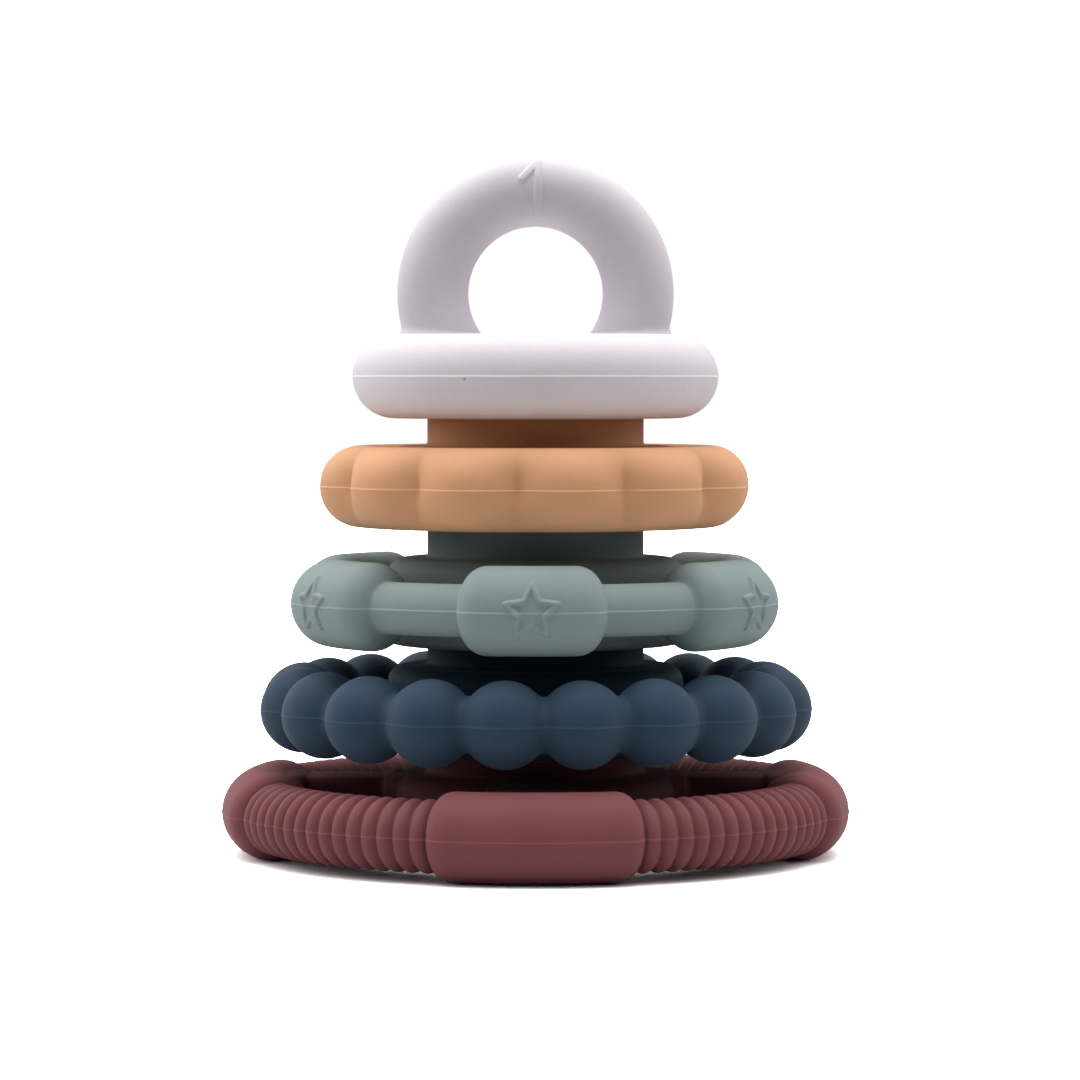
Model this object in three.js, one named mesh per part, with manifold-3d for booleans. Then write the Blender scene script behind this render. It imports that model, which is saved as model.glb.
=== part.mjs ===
// Stacking ring toy: five soft silicone mouldings, each with a post that the next one sits on.
// Millimetres, +Z up, the handle's hole along Y. The origin is on the table, under the middle of the base.
import * as THREE from 'three';
import { ParametricGeometry } from 'three/addons/geometries/ParametricGeometry.js';
import { mergeVertices } from 'three/addons/utils/BufferGeometryUtils.js';
import Module from 'manifold-3d';

// Posts and sockets, the same on every moulding
const postRadius = 19.3;
const postTopRound = 1.8;
const postFootFillet = 0.8;
const postWall = 5;
const postCap = 3.5;
const socketDepth = 9;
const socketClearance = 0.3;
const seatClearance = 0.3;
const hubWall = 6.8;
const hubTopRound = 3;

// Height of bare post that shows above each hub
const baseStandOff = 4.2;
const beadStandOff = 3.8;
const starStandOff = 5.5;
const scallopStandOff = 4.9;

// Fine raised line that the two halves of a mould leave round the outside
const partingLine = 0.2;

// Web of the bead ring and the star ring, halfway up, between hub and ring
const webThickness = 3;

// Base ring: four smooth blocks with ridged lengths between them, carried on four arms
const baseBlockRadius = 7.7;
const baseBlockHalfAngle = THREE.MathUtils.degToRad(20);
const baseBlockRound = 3;
const baseBlockCount = 4;
const baseHubHeight = 14.4;
const ridgeRadius = 6.3;
const ridgeDepth = 1.3;
const ridgesBetweenBlocks = 15;
const armReach = 14.2;
const armWidth = 15;
const armThickness = 5;
const armTopDrop = 0.4;
const armEdgeRound = 2;

// Bead ring: a circle of round beads that run into each other
const beadRadius = 7.57;
const beadNeckRadius = 4.6;
const beadCount = 20;
const beadWebReach = 7.9;
const beadTurn = THREE.MathUtils.degToRad(-79);

// Star ring: a thin ring through six fat blocks, each with a raised star outline
const starTubeRadius = 4.5;
const starBlockRadius = 7.7;
const starBlockHalfAngle = THREE.MathUtils.degToRad(17.8);
const starBlockRound = 4;
const starBlockCount = 6;
const starWebReach = 3.1;
const starTurn = THREE.MathUtils.degToRad(-90.8);
const starPoints = 5;
const starReach = 5.5;
const starWaist = 0.49;
const starLineWidth = 0.7;
const starRaise = 0.4;
const starLift = 0.15;

// Scallop ring: twelve pillow lobes that run into the hub
const lobeSectionRadius = 7.2;
const lobeCount = 12;
const lobeOverhang = 12.3;
const grooveDepth = 3.8;
const grooveFade = 1.8;
const grooveSharpness = 2.3;
const lobeTurn = THREE.MathUtils.degToRad(-79.7);

// Top piece: a thick round disc with an upright ring handle and a raised numeral
const discRadius = 32.6;
const discThickness = 14.8;
const handleTubeRadius = 6.34;
const handleRingRadius = 18.3;
const handleRise = 7.3;
const numeralHeight = 10.3;
const numeralStroke = 1.25;
const numeralFlagReach = 2.4;
const numeralFlagDrop = 4.1;
const numeralTopGap = 0.9;
const numeralShift = 0.4;
const numeralRaise = 0.45;

// Facets
const sectionSteps = 12;
const hubSteps = 32;
const discSteps = 40;
const handleSteps = 40;
const roundSteps = 3;
const stationsPerBead = 4;
const stationsPerLobe = 6;
const stationsPerRound = 4;
const stationsPerBlock = 4;
const stationsPerTube = 3;

// Sizes that follow from those above
const socketRadius = postRadius + socketClearance;
const hubRadius = socketRadius + hubWall;
const coreRadius = postRadius - postWall;
const insertion = socketDepth - seatClearance;
const baseRingRadius = hubRadius + armReach + baseBlockRadius;
const beadRingRadius = hubRadius + beadWebReach + beadRadius;
const starRingRadius = hubRadius + starWebReach + starBlockRadius;
const lobeRingRadius = hubRadius + lobeOverhang - lobeSectionRadius;

const beadBottom = baseHubHeight + baseStandOff;
const beadTop = beadBottom + 2 * beadRadius;
const starBottom = beadTop + beadStandOff;
const starTop = starBottom + 2 * starBlockRadius;
const lobeBottom = starTop + starStandOff;
const lobeTop = lobeBottom + 2 * lobeSectionRadius;
const discBottom = lobeTop + scallopStandOff;
const discTop = discBottom + discThickness;
const handleCentre = discTop + handleRise;

const wasm = await Module();
wasm.setup();

// A manifold solid from a closed three.js geometry
function solid(geometry) {
  geometry.deleteAttribute('normal');
  geometry.deleteAttribute('uv');
  const merged = mergeVertices(geometry);
  const corners = merged.index.array;
  const kept = [];
  for (let i = 0; i < corners.length; i += 3) {
    const [a, b, c] = [corners[i], corners[i + 1], corners[i + 2]];
    if (a !== b && b !== c && c !== a) {
      kept.push(a, b, c);
    }
  }
  const vertProperties = new Float32Array(merged.attributes.position.array);
  const triVerts = new Uint32Array(kept);
  return new wasm.Manifold(new wasm.Mesh({ numProp: 3, vertProperties, triVerts }));
}

// A named mesh from a manifold solid
function namedMesh(name, shape, color, roughness) {
  const result = shape.getMesh();
  const geometry = new THREE.BufferGeometry();
  geometry.setAttribute('position', new THREE.BufferAttribute(result.vertProperties, 3));
  geometry.setIndex(new THREE.BufferAttribute(result.triVerts, 1));
  geometry.computeVertexNormals();
  const material = new THREE.MeshStandardMaterial({ color, roughness, metalness: 0 });
  const mesh = new THREE.Mesh(geometry, material);
  mesh.name = name;
  return mesh;
}

// A solid turned about Z from a profile of [radius, height] points
function turned(profile, steps) {
  const points = profile.map(([radius, height]) => new THREE.Vector2(radius, height));
  const geometry = new THREE.LatheGeometry(points, steps);
  geometry.rotateX(Math.PI / 2);
  return solid(geometry);
}

// Points along an arc about (centreRadius, centreHeight), from one angle to another, in degrees
function arc(centreRadius, centreHeight, radius, from, to, steps) {
  const points = [];
  for (let i = 0; i <= steps; i += 1) {
    const angle = THREE.MathUtils.degToRad(from + (to - from) * i / steps);
    points.push([centreRadius + radius * Math.cos(angle), centreHeight + radius * Math.sin(angle)]);
  }
  return points;
}

// Hub and post in one, cored from below; with a socket depth, the core opens out into a socket
function hubAndPost(bottom, top, standOff, depth) {
  const postTop = top + standOff + insertion;
  const coreTop = postTop - postCap;
  const ceiling = bottom + depth;
  const mouth = depth > 0
    ? [[coreRadius, ceiling], [socketRadius, ceiling], [socketRadius, bottom]]
    : [[coreRadius, bottom]];
  return turned([
    [0, coreTop],
    [coreRadius, coreTop],
    ...mouth,
    [hubRadius, bottom],
    ...arc(hubRadius - hubTopRound, top - hubTopRound, hubTopRound, 0, 90, roundSteps),
    ...arc(postRadius + postFootFillet, top + postFootFillet, postFootFillet, 270, 180, 1),
    ...arc(postRadius - postTopRound, postTop - postTopRound, postTopRound, 0, 90, roundSteps),
    [0, postTop],
  ], hubSteps);
}

// A flat ring from inside the hub to the middle of the outer ring
function web(middle, outerRadius) {
  const inner = (socketRadius + hubRadius) / 2;
  const low = middle - webThickness / 2;
  const high = middle + webThickness / 2;
  const outline = [[inner, low], [outerRadius, low], [outerRadius, high], [inner, high], [inner, low]];
  return turned(outline, hubSteps);
}

// A closed ring about Z. The stations are angles round it, and section(angle) gives the section there:
// the radius of its centre line and a function for the section's own radius, by the angle round it
function ring(stations, middle, section, lift = 0) {
  const around = stations.length;
  const place = (u, v, target) => {
    const angle = stations[Math.round(u * around) % around];
    const step = Math.round(v * sectionSteps) % sectionSteps;
    const turn = 2 * Math.PI * step / sectionSteps;
    const { centre, radiusAt } = section(angle);
    const radius = radiusAt(turn) + lift + (step === 0 ? partingLine : 0);
    const reach = centre + radius * Math.cos(turn);
    target.set(reach * Math.cos(angle), reach * Math.sin(angle), middle + radius * Math.sin(turn));
  };
  return solid(new ParametricGeometry(place, around, sectionSteps));
}

// Signed angle from the nearest member of a pattern of equal copies, the first one at start
function fromNearest(angle, start, count) {
  const pitch = 2 * Math.PI / count;
  const offset = angle - start;
  return offset - pitch * Math.round(offset / pitch);
}

// Tube radius at a distance inside the rounded end of a fatter block on a thin tube
function blockProfile(inside, thin, thick, round) {
  if (inside <= 0) {
    return thin;
  }
  const left = round - Math.min(inside, round);
  return Math.max(thin, thick - round + Math.sqrt(round * round - left * left));
}

// Stations over one block, close together over its rounded ends
function blockStations(middle, halfAngle, roundAngle) {
  const stations = [];
  for (let i = 0; i <= stationsPerRound; i += 1) {
    const inside = roundAngle * (1 - Math.cos(Math.PI / 2 * i / stationsPerRound));
    stations.push(middle - halfAngle + inside, middle + halfAngle - inside);
  }
  for (let i = 1; i < stationsPerBlock; i += 1) {
    stations.push(middle + (halfAngle - roundAngle) * (2 * i / stationsPerBlock - 1));
  }
  return stations.sort((a, b) => a - b);
}

// Base ring
function baseRing() {
  const pitch = 2 * Math.PI / baseBlockCount;
  const gap = pitch - 2 * baseBlockHalfAngle;
  const stations = [];
  for (let block = 0; block < baseBlockCount; block += 1) {
    const middle = block * pitch;
    stations.push(...blockStations(middle, baseBlockHalfAngle, baseBlockRound / baseRingRadius));
    for (let i = 1; i < 2 * ridgesBetweenBlocks; i += 1) {
      stations.push(middle + baseBlockHalfAngle + gap * i / (2 * ridgesBetweenBlocks));
    }
  }
  const section = (angle) => {
    const fromBlock = Math.abs(fromNearest(angle, 0, baseBlockCount));
    const along = (fromBlock - baseBlockHalfAngle) / gap * ridgesBetweenBlocks;
    const ridge = ridgeRadius - ridgeDepth * Math.abs(Math.cos(Math.PI * along));
    const inside = (baseBlockHalfAngle - fromBlock) * baseRingRadius;
    const thin = inside > 0 ? ridgeRadius - ridgeDepth : ridge;
    const radius = blockProfile(inside, thin, baseBlockRadius, baseBlockRound);
    return { centre: baseRingRadius, radiusAt: () => radius };
  };
  const hub = hubAndPost(0, baseHubHeight, baseStandOff, 0);
  let shape = hub.add(ring(stations, baseBlockRadius, section));
  for (let i = 0; i < baseBlockCount; i += 1) {
    shape = shape.add(arm(i * pitch));
  }
  return shape;
}

// One arm of the base, from inside the hub's wall to the middle of a block
function arm(angle) {
  const half = armWidth / 2;
  const top = baseHubHeight - armTopDrop;
  const start = (coreRadius + hubRadius) / 2;
  const outline = new THREE.Shape();
  outline.moveTo(-half, top - armThickness);
  outline.lineTo(half, top - armThickness);
  outline.lineTo(half, top - armEdgeRound);
  outline.absarc(half - armEdgeRound, top - armEdgeRound, armEdgeRound, 0, Math.PI / 2, false);
  outline.lineTo(armEdgeRound - half, top);
  outline.absarc(armEdgeRound - half, top - armEdgeRound, armEdgeRound, Math.PI / 2, Math.PI, false);
  outline.closePath();
  const geometry = new THREE.ExtrudeGeometry(outline, {
    depth: baseRingRadius - start,
    bevelEnabled: false,
    curveSegments: roundSteps,
  });
  geometry.rotateX(Math.PI / 2);
  geometry.rotateZ(Math.PI / 2);
  geometry.translate(start, 0, 0);
  geometry.rotateZ(angle);
  return solid(geometry);
}

// Bead ring
function beadRing() {
  const pitch = 2 * Math.PI / beadCount;
  const middle = beadBottom + beadRadius;
  const stations = [];
  for (let i = 0; i < beadCount * stationsPerBead; i += 1) {
    stations.push(beadTurn + pitch * i / stationsPerBead);
  }
  const narrowing = beadRadius * beadRadius - beadNeckRadius * beadNeckRadius;
  const section = (angle) => {
    const offset = fromNearest(angle, beadTurn, beadCount);
    const share = Math.sin(offset) / Math.sin(pitch / 2);
    const radius = Math.sqrt(beadRadius * beadRadius - narrowing * share * share);
    return { centre: beadRingRadius * Math.cos(offset), radiusAt: () => radius };
  };
  return hubAndPost(beadBottom, beadTop, beadStandOff, socketDepth)
    .add(web(middle, beadRingRadius * Math.cos(pitch / 2)))
    .add(ring(stations, middle, section));
}

// Five-pointed outline, its point up, with a hole that leaves a line of the given width
function starOutline() {
  const corners = (reach) => {
    const points = [];
    for (let i = 0; i < 2 * starPoints; i += 1) {
      const angle = Math.PI / 2 + Math.PI * i / starPoints;
      const radius = i % 2 === 0 ? reach : reach * starWaist;
      points.push(new THREE.Vector2(radius * Math.cos(angle), radius * Math.sin(angle)));
    }
    return points;
  };
  const tipAngle = Math.PI / starPoints;
  const edgeLean = Math.atan2(starWaist * Math.sin(tipAngle), 1 - starWaist * Math.cos(tipAngle));
  const outline = new THREE.Shape(corners(starReach));
  outline.holes.push(new THREE.Path(corners(starReach - starLineWidth / Math.sin(edgeLean))));
  return outline;
}

// Star ring
function starRing() {
  const pitch = 2 * Math.PI / starBlockCount;
  const gap = pitch - 2 * starBlockHalfAngle;
  const middle = starBottom + starBlockRadius;
  const stations = [];
  for (let block = 0; block < starBlockCount; block += 1) {
    const centre = starTurn + block * pitch;
    stations.push(...blockStations(centre, starBlockHalfAngle, starBlockRound / starRingRadius));
    for (let i = 1; i < stationsPerTube; i += 1) {
      stations.push(centre + starBlockHalfAngle + gap * i / stationsPerTube);
    }
  }
  const section = (angle) => {
    const fromBlock = Math.abs(fromNearest(angle, starTurn, starBlockCount));
    const inside = (starBlockHalfAngle - fromBlock) * starRingRadius;
    const radius = blockProfile(inside, starTubeRadius, starBlockRadius, starBlockRound);
    return { centre: starRingRadius, radiusAt: () => radius };
  };
  const raised = ring(stations, middle, section, starRaise);
  let shape = hubAndPost(starBottom, starTop, starStandOff, socketDepth)
    .add(web(middle, starRingRadius))
    .add(ring(stations, middle, section));
  for (let block = 0; block < starBlockCount; block += 1) {
    const prism = new THREE.ExtrudeGeometry(starOutline(), {
      depth: 2 * starBlockRadius,
      bevelEnabled: false,
    });
    prism.rotateX(Math.PI / 2);
    prism.rotateZ(Math.PI / 2);
    prism.translate(starRingRadius, 0, middle + starLift);
    prism.rotateZ(starTurn + block * pitch);
    shape = shape.add(solid(prism).intersect(raised));
  }
  return shape;
}

// Scallop ring: the grooves are deepest at mid-height and fade out over the top and bottom
function scallopRing() {
  const pitch = 2 * Math.PI / lobeCount;
  const middle = lobeBottom + lobeSectionRadius;
  const stations = [];
  for (let i = 0; i < lobeCount * stationsPerLobe; i += 1) {
    stations.push(lobeTurn + pitch * i / stationsPerLobe);
  }
  const section = (angle) => {
    const share = 2 * Math.abs(fromNearest(angle, lobeTurn, lobeCount)) / pitch;
    const sunk = grooveDepth * share ** grooveSharpness;
    const radiusAt = (turn) => lobeSectionRadius - sunk * Math.max(0, Math.cos(turn)) ** grooveFade;
    return { centre: lobeRingRadius, radiusAt };
  };
  return hubAndPost(lobeBottom, lobeTop, scallopStandOff, socketDepth)
    .add(ring(stations, middle, section));
}

// Numeral one: a stem with a short flag at its top left
function numeralOutline() {
  const half = numeralStroke / 2;
  const outline = new THREE.Shape();
  outline.moveTo(-half, -numeralHeight);
  outline.lineTo(half, -numeralHeight);
  outline.lineTo(half, 0);
  outline.lineTo(-half, 0);
  outline.lineTo(-half - numeralFlagReach, -numeralFlagDrop + numeralStroke);
  outline.lineTo(-half - numeralFlagReach, -numeralFlagDrop);
  outline.lineTo(-half, -numeralStroke - half);
  outline.closePath();
  return outline;
}

// Upright ring, its lower part cut away at a level inside the disc
function handleRing(tubeRadius, cutLevel) {
  const geometry = new THREE.TorusGeometry(handleRingRadius, tubeRadius, sectionSteps, handleSteps);
  geometry.rotateX(Math.PI / 2);
  geometry.translate(0, 0, handleCentre);
  const reach = 2 * (handleRingRadius + tubeRadius);
  const below = new THREE.BoxGeometry(2 * reach, 2 * reach, reach);
  below.translate(0, 0, cutLevel - reach / 2);
  return solid(geometry).subtract(solid(below));
}

// Top piece
function handleDisc() {
  const half = discThickness / 2;
  const middle = discBottom + half;
  const ceiling = discBottom + socketDepth;
  const cutLevel = (ceiling + discTop) / 2;
  const edge = arc(discRadius - half, middle, half, -90, 90, 4 * roundSteps);
  edge[2 * roundSteps][0] += partingLine;
  const socketStart = discBottom - socketDepth;
  const socketOutline = [[0, socketStart], [socketRadius, socketStart], [socketRadius, ceiling], [0, ceiling]];
  const socket = turned(socketOutline, hubSteps);
  const disc = turned([[0, discBottom], ...edge, [0, discTop]], discSteps).subtract(socket);
  const numeral = new THREE.ExtrudeGeometry(numeralOutline(), {
    depth: 2 * handleTubeRadius,
    bevelEnabled: false,
  });
  numeral.rotateX(Math.PI / 2);
  numeral.translate(numeralShift, 0, handleCentre + handleRingRadius + handleTubeRadius - numeralTopGap);
  const raisedNumeral = solid(numeral).intersect(handleRing(handleTubeRadius + numeralRaise, cutLevel));
  return disc.add(handleRing(handleTubeRadius, cutLevel)).add(raisedNumeral);
}

const toy = new THREE.Group();
toy.add(namedMesh('base_ring', baseRing(), 0x8c585c, 0.6));
toy.add(namedMesh('bead_ring', beadRing(), 0x485868, 0.6));
toy.add(namedMesh('star_ring', starRing(), 0xa0afac, 0.6));
toy.add(namedMesh('scallop_ring', scallopRing(), 0xdaa880, 0.6));
toy.add(namedMesh('handle_disc', handleDisc(), 0xe1dae0, 0.6));

export default toy;
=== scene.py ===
import math

import bpy
import numpy as np
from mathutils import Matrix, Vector


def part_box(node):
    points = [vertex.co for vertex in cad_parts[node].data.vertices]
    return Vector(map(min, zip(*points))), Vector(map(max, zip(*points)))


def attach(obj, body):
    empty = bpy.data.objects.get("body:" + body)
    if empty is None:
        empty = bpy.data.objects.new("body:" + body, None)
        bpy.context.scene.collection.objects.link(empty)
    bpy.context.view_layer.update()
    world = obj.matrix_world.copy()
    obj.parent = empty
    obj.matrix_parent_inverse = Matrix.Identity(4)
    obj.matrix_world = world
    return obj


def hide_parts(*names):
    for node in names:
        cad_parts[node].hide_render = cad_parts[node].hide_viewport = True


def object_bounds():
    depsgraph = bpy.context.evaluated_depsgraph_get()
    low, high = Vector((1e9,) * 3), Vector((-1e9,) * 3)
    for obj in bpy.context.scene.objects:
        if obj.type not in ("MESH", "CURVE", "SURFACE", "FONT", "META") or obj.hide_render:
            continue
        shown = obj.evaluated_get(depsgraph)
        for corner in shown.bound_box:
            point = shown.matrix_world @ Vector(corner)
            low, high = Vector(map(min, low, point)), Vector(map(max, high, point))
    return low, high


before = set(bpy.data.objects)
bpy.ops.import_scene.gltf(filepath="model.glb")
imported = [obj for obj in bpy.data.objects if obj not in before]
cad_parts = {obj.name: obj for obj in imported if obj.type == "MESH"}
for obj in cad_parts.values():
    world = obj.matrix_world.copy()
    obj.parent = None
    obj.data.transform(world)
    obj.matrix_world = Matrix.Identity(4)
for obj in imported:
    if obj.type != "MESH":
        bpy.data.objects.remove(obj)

CAD_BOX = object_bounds()
MM = 0.001
TURN = 2 * math.pi


def node_levels(node):
    """Lowest and highest level of a CAD node, in millimetres."""
    low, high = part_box(node)
    return low[2] / MM, high[2] / MM


# ---------------------------------------------------------------- sizes, in millimetres
# height and half width of the raised line where the two halves of a mould met
PARTING_LINE = 0.11
PARTING_HALF_WIDTH = 0.15

# how finely a density of points is read, spacing along straight stretches, points round a corner
SPREAD_SAMPLES = 4000
PATH_SPACING = 1.5
CORNER_STEPS = 7

# points round each ring and round its tube, or along and round an arm
BASE_POINTS = (960, 96)
HUB_POINTS = 160
BEAD_POINTS = (520, 90)
STAR_POINTS_ROUND = (780, 180)
LOBE_POINTS = (528, 120)
DISC_POINTS = (300, 110)
HANDLE_POINTS = (360, 200)
ARM_POINTS = (60, 48)
WEB_FILLET_POINTS = 6
HUB_FILLET_POINTS = 8
# how much closer points lie at the parting line, over this share of a tube's section
PARTING_DENSITY = 5.0
PARTING_SHARE = 0.02
# part of the star ring's section with the stars on it, and how much closer points lie there
STAR_FINE_SHARE = 0.36
STAR_FINE_DENSITY = 2.6
# widths, in radians, over which points lie closer where a ring's shape turns sharply
BLOCK_END_WIDTH = 0.02
BEAD_CREASE_WIDTH = 0.025
STAR_END_WIDTH = 0.03
GROOVE_WIDTH = 0.03
NUMERAL_HALF_WIDTH = 0.24
# width, in millimetres, over which the handle's points lie closer above the disc
HANDLE_FOOT_WIDTH = 1.5

# post, core and socket, the same on every piece
POST_RADIUS = 19.3
POST_TOP_ROUND = 1.8
POST_FOOT_FILLET = 0.8
POST_CAP = 3.5
CORE_RADIUS = 14.3
CORE_ROUND = 2.0
SOCKET_RADIUS = 19.6
SOCKET_DEPTH = 9.0
SOCKET_CEILING_ROUND = 0.3
SOCKET_MOUTH_ROUND = 0.6
HUB_RADIUS = 26.4
HUB_TOP_ROUND = 3.0
HUB_FOOT_ROUND = 1.2
WEB_THICKNESS = 3.0
WEB_FILLET = 1.0

# base ring; a blend is the length over which two surfaces run into each other
BASE_RING_RADIUS = 48.3
BASE_BLOCK_RADIUS = 7.7
BASE_BLOCK_HALF_ANGLE = math.radians(20)
BASE_BLOCK_ROUND = 3.0
BASE_BLOCK_BLEND = 0.12
BASE_BLOCKS = 4
BASE_HUB_HEIGHT = 14.4
RIDGE_RADIUS = 6.3
RIDGE_DEPTH = 1.7
RIDGE_CREASE_SHARE = 0.03
RIDGES_BETWEEN_BLOCKS = 15
ARM_WIDTH = 15.0
ARM_THICKNESS = 5.0
ARM_TOP = 14.0
ARM_EDGE_ROUND = 2.0
ARM_FILLET = 1.6
ARM_FILLET_UPWARDS = 0.2
ARM_IN_HUB = 3.0
ARM_IN_RING = 0.5

# bead ring
BEAD_RADIUS = 7.57
BEAD_RING_RADIUS = 41.87
BEADS = 20
BEAD_TURN = math.radians(-79)
BEAD_NECK_RADIUS = 4.8
BEAD_NECK_BLEND = 0.4
BEAD_TURN_BLEND = 0.9

# star ring; the waist is a star's inner radius as a share of its reach
STAR_RING_RADIUS = 37.2
STAR_TUBE_RADIUS = 4.5
STAR_BLOCK_RADIUS = 7.7
STAR_BLOCK_HALF_ANGLE = math.radians(17.8)
STAR_BLOCK_ROUND = 4.0
STAR_BLOCK_BLEND = 0.35
STAR_BLOCKS = 6
STAR_TURN = math.radians(-90.8)
STAR_POINTS = 5
STAR_REACH = 5.5
STAR_WAIST = 0.49
STAR_LINE_HALF = 0.4
STAR_RAISE = 0.45
STAR_LIFT = 0.15
STAR_MARGIN = 0.5
RELIEF_EDGE = 0.5

# scallop ring; the fade is how fast a groove dies out over the top, the crease a share of a lobe
LOBE_SECTION_RADIUS = 7.2
LOBE_RING_RADIUS = 31.5
LOBES = 12
LOBE_TURN = math.radians(-79.7)
GROOVE_DEPTH = 3.8
GROOVE_FADE = 1.8
GROOVE_SHARPNESS = 2.3
LOBE_CREASE_SHARE = 0.035
LOBE_HUB_FILLET = 0.8

# top piece
DISC_RADIUS = 32.6
DISC_HALF = 7.4
HANDLE_TUBE_RADIUS = 6.34
HANDLE_RING_RADIUS = 18.3
HANDLE_FILLET_OUTSIDE = 1.8
HANDLE_FILLET_INSIDE = 0.3
NUMERAL_LENGTH = 9.1
NUMERAL_STROKE_HALF = 0.6
NUMERAL_FLAG = (-2.75, -2.9)
NUMERAL_TOP_GAP = 1.5
NUMERAL_SHIFT = 0.4
NUMERAL_RAISE = 0.43


# ---------------------------------------------------------------- curves and meshes
def spread(low, high, count, density):
    """Count numbers from low to high, closer together where density is higher."""
    fine = np.linspace(low, high, SPREAD_SAMPLES)
    weight = density(fine)
    total = np.concatenate([[0], np.cumsum((weight[1:] + weight[:-1]) / 2)])
    return np.interp(np.linspace(0, total[-1], count), total, fine)


def smooth_fold(offset, half, blend):
    """Distance from the middle of a copy in a pattern, rounded off where two copies meet."""
    return half - np.sqrt((half - np.abs(offset)) ** 2 + blend * blend)


def smooth_larger(a, b, blend):
    """The larger of two numbers, with the change from one to the other rounded off."""
    return (a + b + np.sqrt((a - b) ** 2 + blend * blend)) / 2


def from_nearest(angle, start, count):
    """Signed angle from the nearest of count equal copies, the first one at start."""
    pitch = TURN / count
    offset = angle - start
    return offset - pitch * np.round(offset / pitch)


def rounded_path(corners):
    """Points along straight stretches with rounded corners, one row for each angle round the ring.

    corners is a list of (radius, level, corner rounding); radius and level are numbers or columns.
    """
    rows = max(np.size(radius) for radius, _, _ in corners)
    column = lambda value: np.broadcast_to(np.ravel(value), rows)
    points = [np.stack([column(radius), column(level)], -1) for radius, level, _ in corners]
    pieces = [points[0][:, None, :]]
    last = points[0]
    for i in range(1, len(corners)):
        here = points[i]
        rounding = corners[i][2]
        if rounding and i < len(corners) - 1:
            back = here - points[i - 1]
            ahead = points[i + 1] - here
            back = back / np.linalg.norm(back, axis=1)[:, None]
            ahead = ahead / np.linalg.norm(ahead, axis=1)[:, None]
            turn = np.arccos(np.clip((back * ahead).sum(1), -1, 1))[:, None]
            length = rounding * np.tan(turn / 2)
            start = here - back * length
            side = np.sign(back[:, :1] * ahead[:, 1:] - back[:, 1:] * ahead[:, :1])
            normal = np.stack([-back[:, 1], back[:, 0]], -1) * side
            centre = start + normal * rounding
            swing = np.linspace(0, 1, CORNER_STEPS)[None, :, None] * turn[:, None, :]
            bend = (centre[:, None, :] - normal[:, None, :] * rounding * np.cos(swing)
                    + back[:, None, :] * rounding * np.sin(swing))
        else:
            bend = here[:, None, :]
        gap = np.linalg.norm(bend[:, 0] - last, axis=1).max()
        between = max(1, int(round(gap / PATH_SPACING)))
        share = np.linspace(0, 1, between + 1)[1:-1][None, :, None]
        pieces.append(last[:, None, :] * (1 - share) + bend[:, :1] * share)
        pieces.append(bend)
        last = bend[:, -1]
    return np.concatenate(pieces, 1)


def arc_path(centre_radius, centre_level, radius, swing):
    """Points on arcs, one row for each angle round the ring; swing holds the angles along each arc."""
    return np.stack([centre_radius + radius * np.cos(swing), centre_level + radius * np.sin(swing)], -1)


def mesh_object(name, vertices, faces):
    """A smooth-shaded object in the scene from vertices in millimetres."""
    mesh = bpy.data.meshes.new(name)
    mesh.from_pydata((np.asarray(vertices) * MM).tolist(), [], faces)
    mesh.validate()
    mesh.shade_smooth()
    piece = bpy.data.objects.new(name, mesh)
    bpy.context.scene.collection.objects.link(piece)
    return piece


def grid_faces(rows, columns, wrap_columns):
    """Quads of a grid whose rows close on themselves."""
    row = np.arange(rows)[:, None]
    column = np.arange(columns if wrap_columns else columns - 1)[None, :]
    next_row = (row + 1) % rows
    next_column = (column + 1) % columns
    quads = np.stack(np.broadcast_arrays(
        row * columns + column, next_row * columns + column,
        next_row * columns + next_column, row * columns + next_column), -1)
    return quads.reshape(-1, 4).tolist()


def around_z(angles, path):
    """Places a path for each angle round the Z axis."""
    turn = angles[:, None]
    return np.stack([path[..., 0] * np.cos(turn), path[..., 0] * np.sin(turn), path[..., 1]], -1)


def turned_object(name, angles, path):
    """A closed body round Z; each row of path starts and ends on the axis."""
    rows, columns = len(angles), path.shape[1] - 2
    path = np.broadcast_to(path, (rows,) + path.shape[1:])
    vertices = around_z(angles, path[:, 1:-1]).reshape(-1, 3)
    poles = [[0, 0, path[0, 0, 1]], [0, 0, path[0, -1, 1]]]
    first, last = len(vertices), len(vertices) + 1
    faces = grid_faces(rows, columns, False)
    for i in range(rows):
        following = (i + 1) % rows
        faces.append([first, following * columns, i * columns])
        faces.append([last, i * columns + columns - 1, following * columns + columns - 1])
    return mesh_object(name, np.concatenate([vertices, poles]), faces)


def joined(name, body, others):
    """Joins overlapping closed bodies into one closed body."""
    bpy.context.view_layer.objects.active = body
    for other in others:
        join = body.modifiers.new("join", "BOOLEAN")
        join.operation = "UNION"
        join.solver = "MANIFOLD"
        join.object = other
        bpy.ops.object.modifier_apply(modifier=join.name)
        bpy.data.objects.remove(other)
    body.name = name
    body.data.name = name
    body.data.shade_smooth()
    return body


# ---------------------------------------------------------------- profiles shared by the rings
def underside(bottom, core_top, depth):
    """From the axis at the top of the core down to the edge of the hub's underside."""
    path = [(0.0, core_top, 0), (CORE_RADIUS, core_top, CORE_ROUND)]
    if depth:
        ceiling = bottom + depth
        path += [(CORE_RADIUS, ceiling, SOCKET_MOUTH_ROUND),
                 (SOCKET_RADIUS, ceiling, SOCKET_CEILING_ROUND),
                 (SOCKET_RADIUS, bottom, SOCKET_MOUTH_ROUND)]
    else:
        path += [(CORE_RADIUS, bottom, SOCKET_MOUTH_ROUND)]
    return path + [(HUB_RADIUS, bottom, HUB_FOOT_ROUND)]


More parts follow.
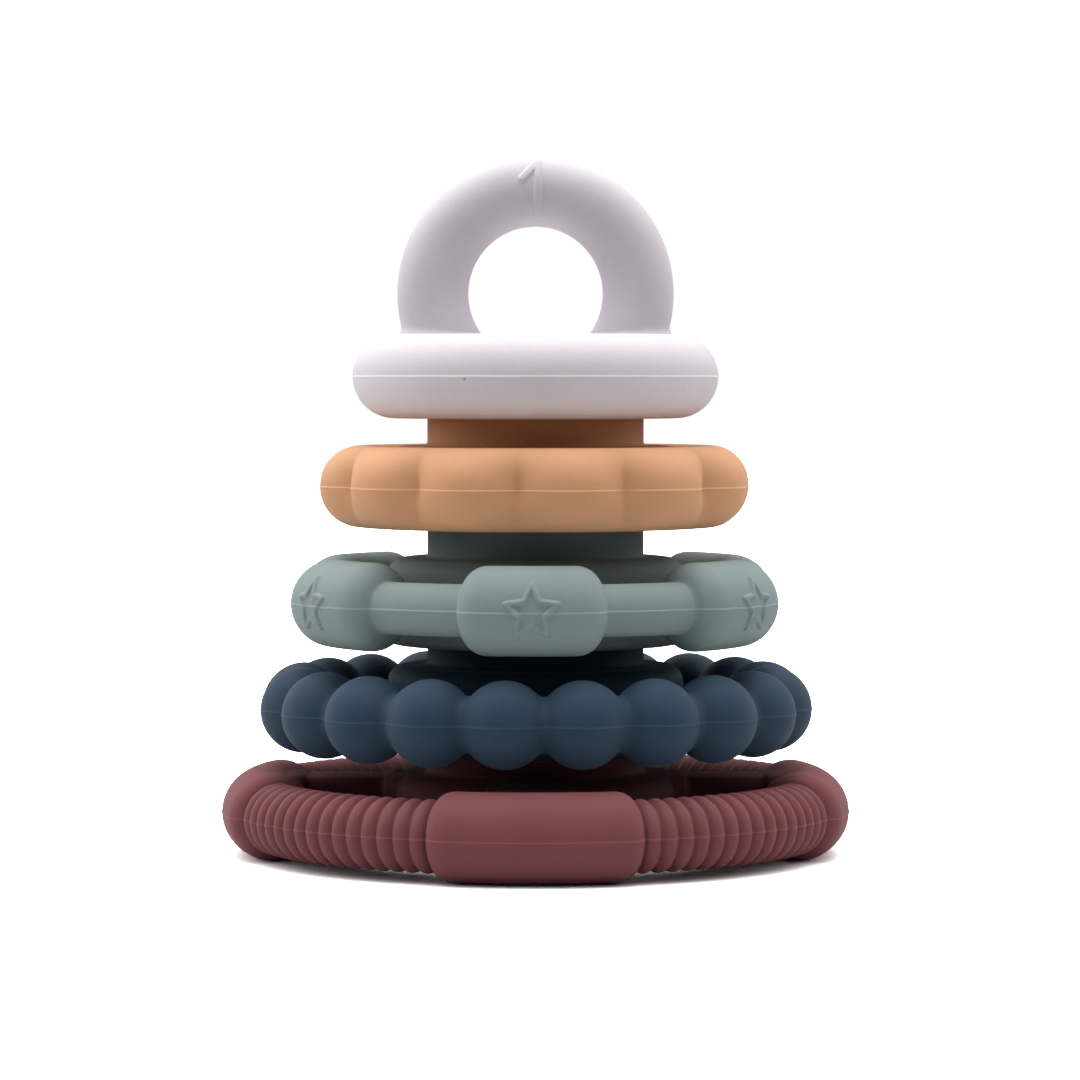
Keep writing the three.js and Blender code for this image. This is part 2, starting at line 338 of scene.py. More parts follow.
def topside(hub_top, post_top):
    """From the hub's top edge up the post to the axis."""
    return [(HUB_RADIUS, hub_top, HUB_TOP_ROUND), (POST_RADIUS, hub_top, POST_FOOT_FILLET),
            (POST_RADIUS, post_top, POST_TOP_ROUND), (0.0, post_top, 0)]


def hill(distance, width):
    """1 at no distance, falling smoothly to 0 a few widths away."""
    return np.exp(-(distance / width) ** 2)


def tube_swing(count, fine_to=0.0, fine=1.0):
    """Shares from -1 to 1 along a tube's section, closest together at the parting line.

    Up to the share fine_to, where there is relief, points lie fine times as close as elsewhere.
    """
    def density(share):
        detail = np.where(np.abs(share) < fine_to, fine, 1.0)
        return detail + PARTING_DENSITY * hill(share, PARTING_SHARE)
    return spread(-1, 1, count, density)


def same_all_round(part, rows):
    """Repeats a path for each angle round the ring, if it has only one row."""
    return np.broadcast_to(part, (rows,) + part.shape[1:])


def parting(level):
    """Height of the raised line at a distance above or below the mould's parting plane."""
    return PARTING_LINE * hill(level, PARTING_HALF_WIDTH)


def webbed_ring(name, angles, node, hub_top, middle, centre, radius, shares, relief=None):
    """Hub, post, web and ring in one. centre and radius hold the ring's section at each angle."""
    bottom, post_top = node_levels(node)
    half = WEB_THICKNESS / 2
    inner = centre - np.sqrt((radius + WEB_FILLET) ** 2 - (half + WEB_FILLET) ** 2)
    lean = np.arcsin((half + WEB_FILLET) / (radius + WEB_FILLET))
    bend = np.linspace(0, 1, WEB_FILLET_POINTS)[None, :]
    fillet_turn = (math.pi / 2 - lean)[:, None]

    low = rounded_path(underside(bottom, post_top - POST_CAP, SOCKET_DEPTH)
                       + [(HUB_RADIUS, middle - half, WEB_FILLET), (inner, middle - half, 0)])
    low_bend = arc_path(inner[:, None], middle - half - WEB_FILLET, WEB_FILLET,
                        math.pi / 2 - fillet_turn * bend)
    swing = (math.pi - lean)[:, None] * shares[None, :]
    height = radius[:, None] * np.sin(swing)
    outward = radius[:, None] + parting(height) * (np.cos(swing) > 0)
    if relief is not None:
        outward = outward + relief(angles[:, None], swing, height)
    tube = arc_path(centre[:, None], middle, outward, swing)
    high_bend = arc_path(inner[:, None], middle + half + WEB_FILLET, WEB_FILLET,
                         -math.pi / 2 + fillet_turn * bend[:, ::-1])
    high = rounded_path([(inner, middle + half, 0), (HUB_RADIUS, middle + half, WEB_FILLET)]
                        + topside(hub_top, post_top))
    rows = len(angles)
    path = np.concatenate([
        same_all_round(low, rows)[:, :-1], low_bend, tube[:, 1:-1], high_bend,
        same_all_round(high, rows)[:, 1:]], 1)
    return turned_object(name, angles, path)


# ---------------------------------------------------------------- base ring
def block_radius(inside, thin, thick, rounding, blend):
    """Radius of a tube at a distance inside the rounded end of a fatter block on it."""
    left = rounding - np.clip(inside, 0, rounding)
    climb = thick - rounding + np.sqrt(np.maximum(rounding ** 2 - left ** 2, 0))
    block = np.where(inside > 0, climb, thin - 5 * blend)
    return smooth_larger(block, thin, blend)


def base_section(angles):
    """Radius of the base's tube at each angle: four smooth blocks with ridges between them."""
    gap = TURN / BASE_BLOCKS - 2 * BASE_BLOCK_HALF_ANGLE
    from_block = np.abs(from_nearest(angles, 0, BASE_BLOCKS))
    along = (from_block - BASE_BLOCK_HALF_ANGLE) / gap * RIDGES_BETWEEN_BLOCKS
    offset = along - np.floor(along) - 0.5
    folded = smooth_fold(offset, 0.5, RIDGE_CREASE_SHARE) / 0.5
    crest = RIDGE_RADIUS - RIDGE_DEPTH * (1 - np.sqrt(np.maximum(1 - folded ** 2, 0)))
    inside = (BASE_BLOCK_HALF_ANGLE - from_block) * BASE_RING_RADIUS
    thin = np.where(inside > 0, RIDGE_RADIUS - RIDGE_DEPTH, crest)
    radius = block_radius(inside, thin, BASE_BLOCK_RADIUS, BASE_BLOCK_ROUND, BASE_BLOCK_BLEND)
    return np.minimum(radius, BASE_BLOCK_RADIUS)


def arm(angle):
    """One arm of the base, a flat bar that flares into the hub and into the ring."""
    start, end = HUB_RADIUS - ARM_IN_HUB, BASE_RING_RADIUS
    hub_side, ring_side = HUB_RADIUS, BASE_RING_RADIUS - BASE_BLOCK_RADIUS + ARM_IN_RING
    stations, columns = ARM_POINTS
    lengths = np.concatenate([[start], np.linspace(hub_side, ring_side, stations), [end]])
    near_hub = np.clip(lengths - hub_side, 0, ARM_FILLET)
    near_ring = np.clip(ring_side - lengths, 0, ARM_FILLET)
    near = np.minimum(near_hub, near_ring)
    flare = ARM_FILLET - np.sqrt(ARM_FILLET ** 2 - (ARM_FILLET - near) ** 2)
    middle = ARM_TOP - ARM_THICKNESS / 2
    turn = np.linspace(0, TURN, columns, endpoint=False) + TURN / (2 * columns)
    corner = np.stack([np.sign(np.cos(turn)), np.sign(np.sin(turn))], -1)
    core = corner * [ARM_WIDTH / 2 - ARM_EDGE_ROUND, ARM_THICKNESS / 2 - ARM_EDGE_ROUND]
    outline = core + ARM_EDGE_ROUND * np.stack([np.cos(turn), np.sin(turn)], -1)
    outward = np.stack([np.cos(turn), np.sin(turn)], -1)
    rings = []
    for length, grow in zip(lengths, flare):
        section = outline + outward * grow * [1, ARM_FILLET_UPWARDS]
        rings.append(np.stack([np.full(len(turn), length), -section[:, 0], section[:, 1] + middle], -1))
    vertices = np.concatenate(rings)
    faces = []
    for i in range(len(lengths) - 1):
        for j in range(columns):
            k = (j + 1) % columns
            faces.append([i * columns + j, (i + 1) * columns + j, (i + 1) * columns + k, i * columns + k])
    faces.append(list(range(columns)))
    faces.append(list(range(len(vertices) - 1, len(vertices) - 1 - columns, -1)))
    turned = np.stack([
        vertices[:, 0] * math.cos(angle) - vertices[:, 1] * math.sin(angle),
        vertices[:, 0] * math.sin(angle) + vertices[:, 1] * math.cos(angle),
        vertices[:, 2]], -1)
    return mesh_object("arm", turned, faces)


def base_density(angle):
    """Points lie closest at the ends of the blocks, close on the ridges, and apart on the blocks."""
    past_end = np.abs(from_nearest(angle, 0, BASE_BLOCKS)) - BASE_BLOCK_HALF_ANGLE
    return 0.5 + 2.0 * (past_end > 0) + 2.5 * hill(past_end, BLOCK_END_WIDTH)


def make_base_ring():
    bottom, post_top = node_levels("base_ring")
    round_ring, round_tube = BASE_POINTS
    angles = spread(0, TURN, round_ring + 1, base_density)[:-1]
    radius = base_section(angles)[:, None]
    swing = tube_swing(round_tube)[None, :-1] * math.pi
    height = radius * np.sin(swing)
    outward = radius + parting(height) * (np.cos(swing) > 0)
    tube = arc_path(BASE_RING_RADIUS, bottom + BASE_BLOCK_RADIUS, outward, swing)
    ring = mesh_object("base_tube", around_z(angles, tube).reshape(-1, 3),
                       grid_faces(len(angles), tube.shape[1], True))
    hub_path = rounded_path(underside(bottom, post_top - POST_CAP, 0)
                            + topside(bottom + BASE_HUB_HEIGHT, post_top))
    hub = turned_object("base_hub", np.linspace(0, TURN, HUB_POINTS, endpoint=False), hub_path)
    arms = [arm(i * TURN / BASE_BLOCKS) for i in range(BASE_BLOCKS)]
    return joined("base_ring_moulding", ring, [hub] + arms)


# ---------------------------------------------------------------- bead ring
def make_bead_ring():
    bottom, _ = node_levels("bead_ring")
    half_pitch = math.pi / BEADS
    round_ring, round_tube = BEAD_POINTS

    def density(angle):
        from_crease = half_pitch - np.abs(from_nearest(angle, BEAD_TURN, BEADS))
        return 1 + 1.5 * hill(from_crease, BEAD_CREASE_WIDTH)

    angles = spread(BEAD_TURN, BEAD_TURN + TURN, round_ring + 1, density)[:-1]
    offset = from_nearest(angles, BEAD_TURN, BEADS)
    folded = smooth_fold(offset, half_pitch, BEAD_TURN_BLEND / BEAD_RING_RADIUS)
    centre = BEAD_RING_RADIUS * np.cos(folded)
    bead = np.sqrt(BEAD_RADIUS ** 2 - (BEAD_RING_RADIUS * np.sin(offset)) ** 2)
    radius = smooth_larger(bead, BEAD_NECK_RADIUS, BEAD_NECK_BLEND)
    return webbed_ring("bead_ring_moulding", angles, "bead_ring", bottom + 2 * BEAD_RADIUS,
                       bottom + BEAD_RADIUS, centre, radius, tube_swing(round_tube))


# ---------------------------------------------------------------- star ring
def star_distance(across, up):
    """Distance from the middle of the star outline's line."""
    reach = STAR_REACH - STAR_LINE_HALF / math.sin(star_lean())
    corners = []
    for i in range(2 * STAR_POINTS):
        turn = math.pi / 2 + math.pi * i / STAR_POINTS
        size = reach * (STAR_WAIST if i % 2 else 1)
        corners.append((size * math.cos(turn), size * math.sin(turn)))
    return line_distance(across, up, corners + corners[:1])


def star_lean():
    """Angle between a star's edge and the line from its middle to the tip."""
    step = math.pi / STAR_POINTS
    return math.atan2(STAR_WAIST * math.sin(step), 1 - STAR_WAIST * math.cos(step))


def line_distance(across, up, corners):
    """Distance from a line through the corners."""
    nearest = np.full(np.broadcast(across, up).shape, np.inf)
    for (x0, y0), (x1, y1) in zip(corners, corners[1:]):
        dx, dy = x1 - x0, y1 - y0
        share = np.clip(((across - x0) * dx + (up - y0) * dy) / (dx * dx + dy * dy), 0, 1)
        nearest = np.minimum(nearest, np.hypot(across - x0 - share * dx, up - y0 - share * dy))
    return nearest


def raised_line(distance, half_width, height):
    """A raised line with sloping sides and a flat top."""
    side = np.clip((half_width + RELIEF_EDGE / 2 - distance) / RELIEF_EDGE, 0, 1)
    return height * side * side * (3 - 2 * side)


def make_star_ring():
    bottom, _ = node_levels("star_ring")
    middle = bottom + STAR_BLOCK_RADIUS
    outer = STAR_RING_RADIUS + STAR_BLOCK_RADIUS
    star_half_angle = (STAR_REACH + STAR_MARGIN) / outer
    round_ring, round_tube = STAR_POINTS_ROUND

    def density(angle):
        offset = np.abs(from_nearest(angle, STAR_TURN, STAR_BLOCKS))
        at_end = hill(offset - STAR_BLOCK_HALF_ANGLE, STAR_END_WIDTH)
        return 0.6 + 2.6 * (offset < star_half_angle) + 1.4 * at_end

    def relief(angle, swing, height):
        across = from_nearest(angle, STAR_TURN, STAR_BLOCKS) * outer
        distance = star_distance(across, height - STAR_LIFT)
        star = raised_line(distance, STAR_LINE_HALF, STAR_RAISE)
        return star * (np.cos(swing) > 0)

    angles = spread(STAR_TURN, STAR_TURN + TURN, round_ring + 1, density)[:-1]
    from_middle = np.abs(from_nearest(angles, STAR_TURN, STAR_BLOCKS))
    inside = (STAR_BLOCK_HALF_ANGLE - from_middle) * STAR_RING_RADIUS
    radius = block_radius(inside, STAR_TUBE_RADIUS, STAR_BLOCK_RADIUS, STAR_BLOCK_ROUND, STAR_BLOCK_BLEND)
    centre = np.full_like(radius, STAR_RING_RADIUS)
    shares = tube_swing(round_tube, STAR_FINE_SHARE, STAR_FINE_DENSITY)
    return webbed_ring("star_ring_moulding", angles, "star_ring", bottom + 2 * STAR_BLOCK_RADIUS,
                       middle, centre, radius, shares, relief)


# ---------------------------------------------------------------- scallop ring
def make_scallop_ring():
    bottom, post_top = node_levels("scallop_ring")
    middle = bottom + LOBE_SECTION_RADIUS
    hub_top = bottom + 2 * LOBE_SECTION_RADIUS
    half_pitch = math.pi / LOBES
    round_ring, round_tube = LOBE_POINTS

    def density(angle):
        from_groove = half_pitch - np.abs(from_nearest(angle, LOBE_TURN, LOBES))
        return 1 + 2 * hill(from_groove, GROOVE_WIDTH)

    angles = spread(LOBE_TURN, LOBE_TURN + TURN, round_ring + 1, density)[:-1]
    share = smooth_fold(from_nearest(angles, LOBE_TURN, LOBES) / half_pitch, 1.0, LOBE_CREASE_SHARE)
    sunk = GROOVE_DEPTH * np.maximum(share, 0) ** GROOVE_SHARPNESS

    # fillet in the groove between the hub's rounded edge and the top of the ring
    hub_r, hub_z = HUB_RADIUS - HUB_TOP_ROUND, LOBE_SECTION_RADIUS - HUB_TOP_ROUND
    near, far = HUB_TOP_ROUND + LOBE_HUB_FILLET, LOBE_SECTION_RADIUS + LOBE_HUB_FILLET
    span = math.hypot(LOBE_RING_RADIUS - hub_r, hub_z)
    along = (near ** 2 - far ** 2 + span ** 2) / (2 * span)
    aside = math.sqrt(near ** 2 - along ** 2)
    out_r, out_z = (LOBE_RING_RADIUS - hub_r) / span, -hub_z / span
    fillet_r = hub_r + along * out_r - aside * out_z
    fillet_z = hub_z + along * out_z + aside * out_r
    to_hub = math.atan2(hub_z - fillet_z, hub_r - fillet_r)
    to_ring = math.atan2(-fillet_z, LOBE_RING_RADIUS - fillet_r)
    top_start = math.atan2(fillet_z, fillet_r - LOBE_RING_RADIUS)

    swing = top_start * tube_swing(round_tube)[None, :]
    reach = np.maximum(np.cos(swing), 0) ** GROOVE_FADE
    outward = LOBE_SECTION_RADIUS - sunk[:, None] * reach
    outward = outward + parting(LOBE_SECTION_RADIUS * np.sin(swing)) * (np.cos(swing) > 0)
    tube = arc_path(LOBE_RING_RADIUS, middle, outward, swing)

    foot = underside(bottom, post_top - POST_CAP, SOCKET_DEPTH)[:-1]
    low = rounded_path(foot + [(HUB_RADIUS - HUB_FOOT_ROUND, bottom, 0)])
    bend = np.linspace(0, 1, HUB_FILLET_POINTS)[None, :]
    high_bend = arc_path(fillet_r, middle + fillet_z, LOBE_HUB_FILLET,
                         to_ring + (to_hub - to_ring) * bend)
    edge_start = math.atan2(fillet_z - hub_z, fillet_r - hub_r)
    edge = arc_path(hub_r, middle + hub_z, HUB_TOP_ROUND, edge_start + (math.pi / 2 - edge_start) * bend)
    high = rounded_path([(hub_r, hub_top, 0)] + topside(hub_top, post_top)[1:])
    rows = len(angles)
    path = np.concatenate([
        same_all_round(low, rows)[:, :-1], tube, same_all_round(high_bend, rows)[:, 1:-1],
        same_all_round(edge, rows), same_all_round(high, rows)[:, 1:]], 1)
    return turned_object("scallop_ring_moulding", angles, path)


# ---------------------------------------------------------------- top piece
def make_handle_disc():
    bottom, top = node_levels("handle_disc")
    middle = bottom + DISC_HALF
    disc_top = bottom + 2 * DISC_HALF
    centre = top - HANDLE_RING_RADIUS - HANDLE_TUBE_RADIUS

    ceiling = bottom + SOCKET_DEPTH
    edge_radius = DISC_RADIUS - DISC_HALF
    round_disc, round_edge = DISC_POINTS
    swing = tube_swing(round_edge)[None, :] * math.pi / 2
    outward = DISC_HALF + parting(DISC_HALF * np.sin(swing))
    edge = arc_path(edge_radius, middle, outward, swing)
    under = rounded_path([(0.0, ceiling, 0), (SOCKET_RADIUS, ceiling, SOCKET_CEILING_ROUND),
                          (SOCKET_RADIUS, bottom, SOCKET_MOUTH_ROUND), (edge_radius, bottom, 0)])
    over = rounded_path([(edge_radius, disc_top, 0), (0.0, disc_top, 0)])
    disc = turned_object("disc", np.linspace(0, TURN, round_disc, endpoint=False),
                         np.concatenate([under[:, :-1], edge, over[:, 1:]], 1))

    # the upright ring: around goes round the ring from +X up over the top, tube_turn round its tube
    def ring_density(angle):
        at_numeral = np.abs(from_nearest(angle, math.pi / 2, 1)) < NUMERAL_HALF_WIDTH
        above_disc = np.sin(angle) * HANDLE_RING_RADIUS - (disc_top - centre)
        return 1 + 5 * at_numeral + 2 * hill(above_disc, HANDLE_FOOT_WIDTH)

    def tube_density(angle):
        """Points lie closer on the front of the tube, which has the numeral."""
        return 1 + 1.8 * (np.sin(angle) < 0.1)

    round_ring, round_tube = HANDLE_POINTS
    around = spread(0, TURN, round_ring + 1, ring_density)[:-1]
    tube_turn = spread(0, TURN, round_tube + 1, tube_density)[:-1]
    a, s = around[:, None], tube_turn[None, :]
    radial = HANDLE_RING_RADIUS + HANDLE_TUBE_RADIUS * np.cos(s)
    x, z = radial * np.cos(a), radial * np.sin(a)
    outside = (1 + np.cos(s)) / 2
    fillet = HANDLE_FILLET_INSIDE + (HANDLE_FILLET_OUTSIDE - HANDLE_FILLET_INSIDE) * outside
    above = np.clip(z + centre - disc_top, 0, fillet)
    flare = fillet - np.sqrt(fillet ** 2 - (fillet - above) ** 2)
    numeral_top = HANDLE_RING_RADIUS + HANDLE_TUBE_RADIUS - NUMERAL_TOP_GAP
    stem = [(NUMERAL_SHIFT, numeral_top - NUMERAL_LENGTH), (NUMERAL_SHIFT, numeral_top)]
    flag = [stem[1], (NUMERAL_SHIFT + NUMERAL_FLAG[0], numeral_top + NUMERAL_FLAG[1])]
    distance = np.minimum(line_distance(x, z, stem), line_distance(x, z, flag))
    numeral = raised_line(distance, NUMERAL_STROKE_HALF, NUMERAL_RAISE) * (np.sin(s) < 0) * (z > 0)
    radius = HANDLE_TUBE_RADIUS + flare + numeral
    radial = HANDLE_RING_RADIUS + radius * np.cos(s)
    height = np.minimum(centre + radial * np.sin(a), top)
    vertices = np.stack([radial * np.cos(a), radius * np.sin(s) + 0 * a, height], -1)
    handle = mesh_object("handle", vertices.reshape(-1, 3), grid_faces(len(around), len(tube_turn), True))
    handle.data.flip_normals()
    cut_below(handle, (ceiling + disc_top) / 2)
    return joined("handle_disc_moulding", disc, [handle])


def cut_below(piece, level):
    """Cuts away what is below a level, and closes the cut."""
    reach = 2 * (HANDLE_RING_RADIUS + HANDLE_TUBE_RADIUS)
    sides, levels = (-reach, reach), (level - 2 * reach, level)
    corners = [(x, y, z) for x in sides for y in sides for z in levels]
    faces = [(0, 1, 3, 2), (4, 6, 7, 5), (0, 4, 5, 1), (2, 3, 7, 6), (0, 2, 6, 4), (1, 5, 7, 3)]
    block = mesh_object("block", corners, faces)
    cut = piece.modifiers.new("cut", "BOOLEAN")
    cut.operation = "DIFFERENCE"
    cut.solver = "MANIFOLD"
    cut.object = block
    bpy.context.view_layer.objects.active = piece
    bpy.ops.object.modifier_apply(modifier=cut.name)
    bpy.data.objects.remove(block)


# ---------------------------------------------------------------- materials
# colours as seen on a screen, red, green and blue from 0 to 255
MAUVE = (112, 62, 66)
NAVY = (37, 58, 77)
SAGE = (127, 142, 142)
APRICOT = (209, 156, 116)
LILAC = (215, 209, 215)
# dots on the surface, as linear colours with an alpha
DUST = (0.75, 0.74, 0.72, 1)
SOOT = (0.12, 0.10, 0.09, 1)

# noise and pattern scales, in repeats per metre
CLOUD_SCALE = 38
GRAIN_SCALE = 900
POLISH_SCALE = 60
DIMPLE_SCALE = 2600
RIPPLE_SCALE = 240
SPECK_SCALE = 330

# tones as multiples of a piece's colour: the clouding's darkest and lightest, the grain's and the
# parting line's, with how much of each, and of the specks, shows
CLOUD_TONES = (0.965, 1.03)
GRAIN_TONE = 1.25
GRAIN_SHARE = 0.06
LINE_TONE = 1.35
LINE_SHARE = 0.8
SPECK_SHARE = 0.6
# half width of the pale line, where it is full and where it has faded out, in metres
LINE_FULL = 0.00004
LINE_GONE = 0.00022
# distance, in millimetres, over which the line comes in on the outer side of a ring
LINE_START = 0.5
# share of pattern cells with a speck, and smallest and largest speck as a share of a cell
SPECKED_CELLS = 0.015
SPECK_SIZES = (0.03, 0.085)
ROUGHNESS_RANGE = (0.64, 0.74)
RIPPLE_WEIGHT = 1.4
BUMP_STRENGTH = 0.35
BUMP_DEPTH = 0.00012


def srgb(screen):
    """Linear colour from a screen colour."""
    return tuple(((c / 255 + 0.055) / 1.055) ** 2.4 for c in screen)


def node_tools(tree):
    """Short helpers that add and link nodes in a node tree."""
    nodes, links = tree.nodes, tree.links

    def math_node(operation, *values):
        node = nodes.new("ShaderNodeMath")
        node.operation = operation
        for socket, value in zip(node.inputs, values):
            if isinstance(value, (int, float)):
                socket.default_value = value
            else:
                links.new(value, socket)
        return node.outputs[0]

    def ramp(value, low, high, to_low, to_high):
        node = nodes.new("ShaderNodeMapRange")
        node.interpolation_type = "SMOOTHSTEP"
        limits = {"From Min": low, "From Max": high, "To Min": to_low, "To Max": to_high}
        for key, number in limits.items():
            node.inputs[key].default_value = number
        links.new(value, node.inputs["Value"])
        return node.outputs["Result"]

    return nodes, links, math_node, ramp


def silicone(name, colour, seam_level, seam_from, speck_colour):
    """Matte silicone: soft tone changes, fine moulded grain, a paler parting line and a few specks.

    The parting line runs at seam_level, on what is further than seam_from from the axis.
    """
    material = bpy.data.materials.new(name)
    material.use_nodes = True
    nodes, links, math_node, ramp = node_tools(material.node_tree)
    shader = nodes["Principled BSDF"]
    place = nodes.new("ShaderNodeTexCoord").outputs["Object"]

    def noise(scale, detail, roughness=0.5):
        node = nodes.new("ShaderNodeTexNoise")
        node.inputs["Scale"].default_value = scale
        node.inputs["Detail"].default_value = detail
        node.inputs["Roughness"].default_value = roughness
        links.new(place, node.inputs["Vector"])
        return node.outputs["Fac"]

    def mix(share, low, high):
        node = nodes.new("ShaderNodeMix")
        node.data_type = "RGBA"
        for key, value in (("A", low), ("B", high)):
            socket = [s for s in node.inputs if s.name == key and s.type == "RGBA"][0]
            if isinstance(value, tuple):
                socket.default_value = value
            else:
                links.new(value, socket)
        links.new(share, node.inputs["Factor"])
        return [s for s in node.outputs if s.type == "RGBA"][0]

    def shade(factor):
        return tuple(min(1, c * factor) for c in colour) + (1,)

    darkest, lightest = CLOUD_TONES
    clouds = ramp(noise(CLOUD_SCALE, 3), 0.3, 0.7, 0, 1)
    tone = mix(clouds, shade(darkest), shade(lightest))
    grain = ramp(noise(GRAIN_SCALE, 2, 0.6), 0.35, 0.65, 0, 1)
    tone = mix(math_node("MULTIPLY", grain, GRAIN_SHARE), tone, shade(GRAIN_TONE))

    separate = nodes.new("ShaderNodeSeparateXYZ")
    links.new(place, separate.inputs[0])
    x, y, z = separate.outputs
    from_seam = math_node("ABSOLUTE", math_node("SUBTRACT", z, seam_level * MM))
    out = math_node("SQRT", math_node("ADD", math_node("MULTIPLY", x, x), math_node("MULTIPLY", y, y)))
    on_line = math_node("MULTIPLY", ramp(from_seam, LINE_FULL, LINE_GONE, 1, 0),
                        ramp(out, seam_from * MM, (seam_from + LINE_START) * MM, 0, 1))
    tone = mix(math_node("MULTIPLY", on_line, LINE_SHARE), tone, shade(LINE_TONE))

    specks = nodes.new("ShaderNodeTexVoronoi")
    specks.inputs["Scale"].default_value = SPECK_SCALE
    specks.inputs["Randomness"].default_value = 1
    links.new(place, specks.inputs["Vector"])
    pick = nodes.new("ShaderNodeSeparateColor")
    links.new(specks.outputs["Color"], pick.inputs[0])
    size = ramp(pick.outputs[1], 0, 1, *SPECK_SIZES)
    dot = math_node("LESS_THAN", specks.outputs["Distance"], size)
    chosen = math_node("GREATER_THAN", pick.outputs[0], 1 - SPECKED_CELLS)
    shown = math_node("MULTIPLY", dot, chosen)
    tone = mix(math_node("MULTIPLY", shown, SPECK_SHARE), tone, speck_colour)

    links.new(tone, shader.inputs["Base Color"])
    polish = ramp(noise(POLISH_SCALE, 4), 0.3, 0.7, *ROUGHNESS_RANGE)
    links.new(polish, shader.inputs["Roughness"])
    shader.inputs["Specular IOR Level"].default_value = 0.2
    shader.inputs["Sheen Weight"].default_value = 0.04
    shader.inputs["Sheen Roughness"].default_value = 0.5
    shader.inputs["Subsurface Weight"].default_value = 0.12
    shader.inputs["Subsurface Radius"].default_value = (0.0022, 0.0014, 0.0010)
    shader.inputs["Subsurface Scale"].default_value = 1.0

    bump = nodes.new("ShaderNodeBump")
    bump.inputs["Strength"].default_value = BUMP_STRENGTH
    bump.inputs["Distance"].default_value = BUMP_DEPTH
    ripples = math_node("MULTIPLY", noise(RIPPLE_SCALE, 3), RIPPLE_WEIGHT)
    fine = math_node("ADD", noise(DIMPLE_SCALE, 2, 0.6), ripples)
    links.new(fine, bump.inputs["Height"])
    links.new(bump.outputs["Normal"], shader.inputs["Normal"])
    return material


def finished(piece, node, slot, screen_colour, seam_up, seam_from, speck_colour=DUST):
    """Gives a piece its material and puts it in place of its CAD node.

    seam_up is the parting line's height above the node's bottom.
    """
    seam_level = node_levels(node)[0] + seam_up
    surface = silicone(slot + "_surface", srgb(screen_colour), seam_level, seam_from, speck_colour)
    piece.data.materials.clear()
    piece.data.materials.append(surface)
    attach(piece, node)
    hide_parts(node)


def build_toy():
    finished(make_base_ring(), "base_ring", "mauve_silicone", MAUVE, BASE_BLOCK_RADIUS, BASE_RING_RADIUS)
    finished(make_bead_ring(), "bead_ring", "navy_silicone", NAVY, BEAD_RADIUS, BEAD_RING_RADIUS)
    finished(make_star_ring(), "star_ring", "sage_silicone", SAGE, STAR_BLOCK_RADIUS, STAR_RING_RADIUS)
    finished(make_scallop_ring(), "scallop_ring", "apricot_silicone", APRICOT,
             LOBE_SECTION_RADIUS, LOBE_RING_RADIUS, speck_colour=SOOT)
    finished(make_handle_disc(), "handle_disc", "lilac_silicone", LILAC,
             DISC_HALF, DISC_RADIUS - DISC_HALF, speck_colour=SOOT)


# ---------------------------------------------------------------- floor, light and camera
# the floor's half width, and how far it lies under the toy, in metres
FLOOR_HALF = 3.0
FLOOR_DROP = 0.0001
# brightness of the floor and of the background where the camera sees them directly
FLOOR_WHITE = 1.9
BACKGROUND_WHITE = 1.02
# share of light the floor throws back, near the toy and far from it, at these distances in metres
BOUNCE_SHARES = (0.75, 0.12)
BOUNCE_DISTANCES = (0.10, 0.32)

# direction a light comes from, how narrow it is, and its strength
SOFT_LIGHTS = (
    ((0.0, 0.0, 1.0), 8.0, 6.1),
    ((0.0, 0.0, 1.0), 2.0, 0.35),
    ((-0.85, 0.45, 0.35), 4.0, 1.9),
    ((0.85, 0.45, 0.35), 4.0, 1.25),
    ((-1.0, 0.0, 0.35), 8.0, 0.6),
    ((1.0, 0.0, 0.35), 8.0, 0.4),
)


def floor_paint():
    """White floor whose bounced light comes mostly from the part round the toy, as off a small table."""
    paint = bpy.data.materials.new("floor_paint")
    paint.use_nodes = True
    nodes, links, math_node, ramp = node_tools(paint.node_tree)
    shader = nodes["Principled BSDF"]
    length = nodes.new("ShaderNodeVectorMath")
    length.operation = "LENGTH"
    links.new(nodes.new("ShaderNodeTexCoord").outputs["Object"], length.inputs[0])
    bounce = ramp(length.outputs["Value"], *BOUNCE_DISTANCES, *BOUNCE_SHARES)
    seen = nodes.new("ShaderNodeLightPath").outputs["Is Camera Ray"]
    extra = math_node("MULTIPLY", seen, math_node("SUBTRACT", FLOOR_WHITE, bounce))
    links.new(math_node("ADD", bounce, extra), shader.inputs["Base Color"])
    shader.inputs["Roughness"].default_value = 1.0
    shader.inputs["Specular IOR Level"].default_value = 0.0
    return paint


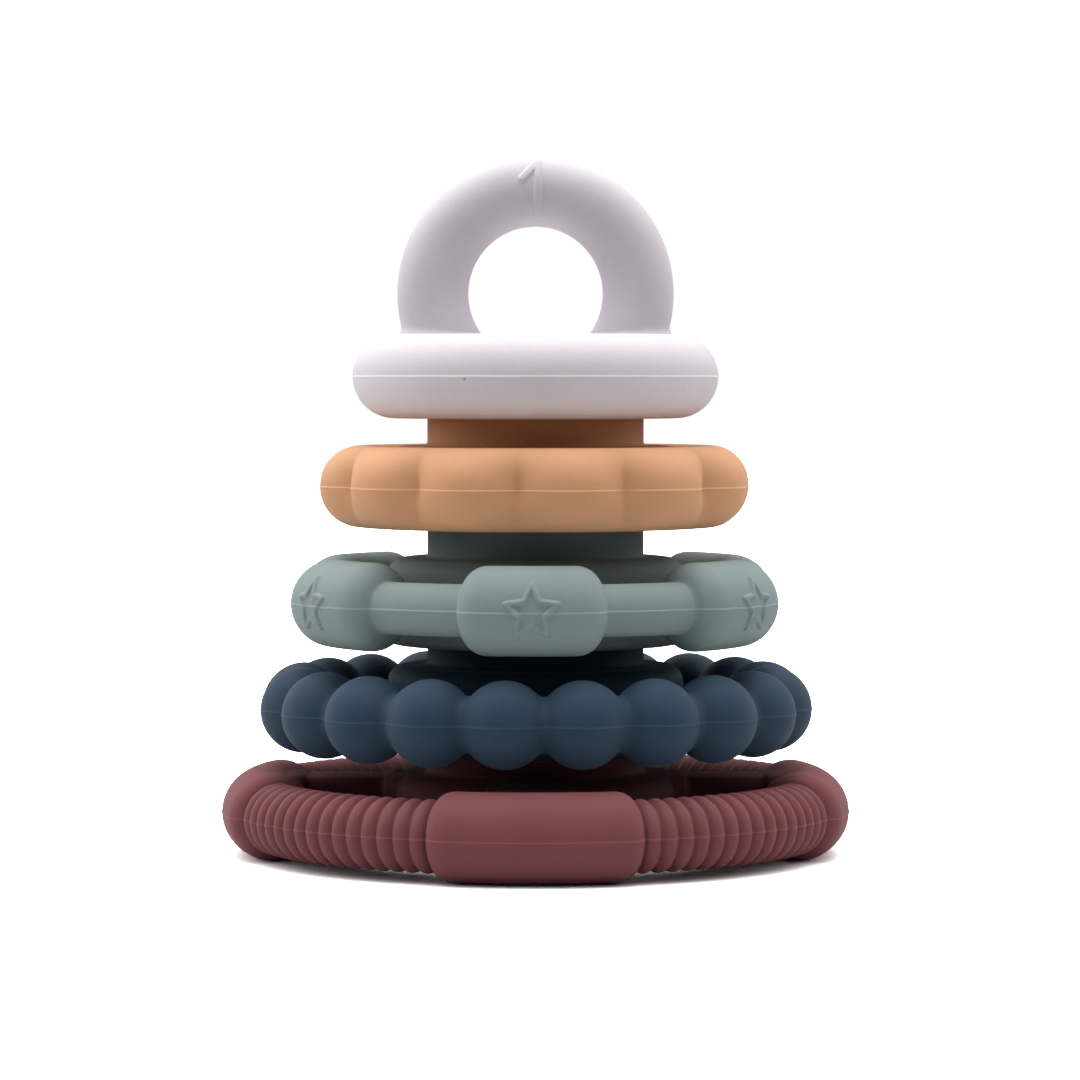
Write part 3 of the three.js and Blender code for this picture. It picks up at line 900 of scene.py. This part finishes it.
def studio_world():
    """Soft light from above and from both sides behind, dim from the front, on a white background."""
    world = bpy.data.worlds.new("studio")
    bpy.context.scene.world = world
    world.use_nodes = True
    nodes, links, math_node, _ = node_tools(world.node_tree)
    background = nodes["Background"]
    direction = nodes.new("ShaderNodeTexCoord").outputs["Generated"]
    total = 0.0
    for towards, narrowness, strength in SOFT_LIGHTS:
        facing = nodes.new("ShaderNodeVectorMath")
        facing.operation = "DOT_PRODUCT"
        facing.inputs[1].default_value = Vector(towards).normalized()
        links.new(direction, facing.inputs[0])
        lobe = math_node("POWER", math_node("MAXIMUM", facing.outputs["Value"], 0.0), narrowness)
        total = math_node("MULTIPLY_ADD", lobe, strength, total)
    seen = nodes.new("ShaderNodeLightPath").outputs["Is Camera Ray"]
    extra = math_node("MULTIPLY", seen, math_node("SUBTRACT", BACKGROUND_WHITE, total))
    links.new(math_node("ADD", total, extra), background.inputs["Strength"])
    background.inputs["Color"].default_value = (1, 1, 1, 1)


def build_stage():
    half = FLOOR_HALF / MM
    corners = [(-half, -half, 0), (half, -half, 0), (half, half, 0), (-half, half, 0)]
    floor = mesh_object("floor", corners, [(0, 1, 2, 3)])
    floor.location.z = CAD_BOX[0][2] - FLOOR_DROP
    floor.data.materials.append(floor_paint())
    studio_world()


# lens and sensor in millimetres, place in metres, and how far the camera looks down
CAMERA_LENS = 140
CAMERA_SENSOR = 36
CAMERA_NEAR = 0.01
CAMERA_PLACE = (0.0008, -0.750, 0.0845)
CAMERA_DOWN = math.radians(2.18)


def build_camera():
    camera = bpy.data.cameras.new("camera")
    camera.lens = CAMERA_LENS
    camera.sensor_width = CAMERA_SENSOR
    camera.clip_start = CAMERA_NEAR
    holder = bpy.data.objects.new("camera", camera)
    holder.location = CAMERA_PLACE
    holder.rotation_euler = (math.pi / 2 - CAMERA_DOWN, 0, 0)
    bpy.context.scene.collection.objects.link(holder)
    bpy.context.scene.camera = holder
    bpy.context.scene.view_settings.view_transform = "Standard"


build_toy()
build_stage()
build_camera()
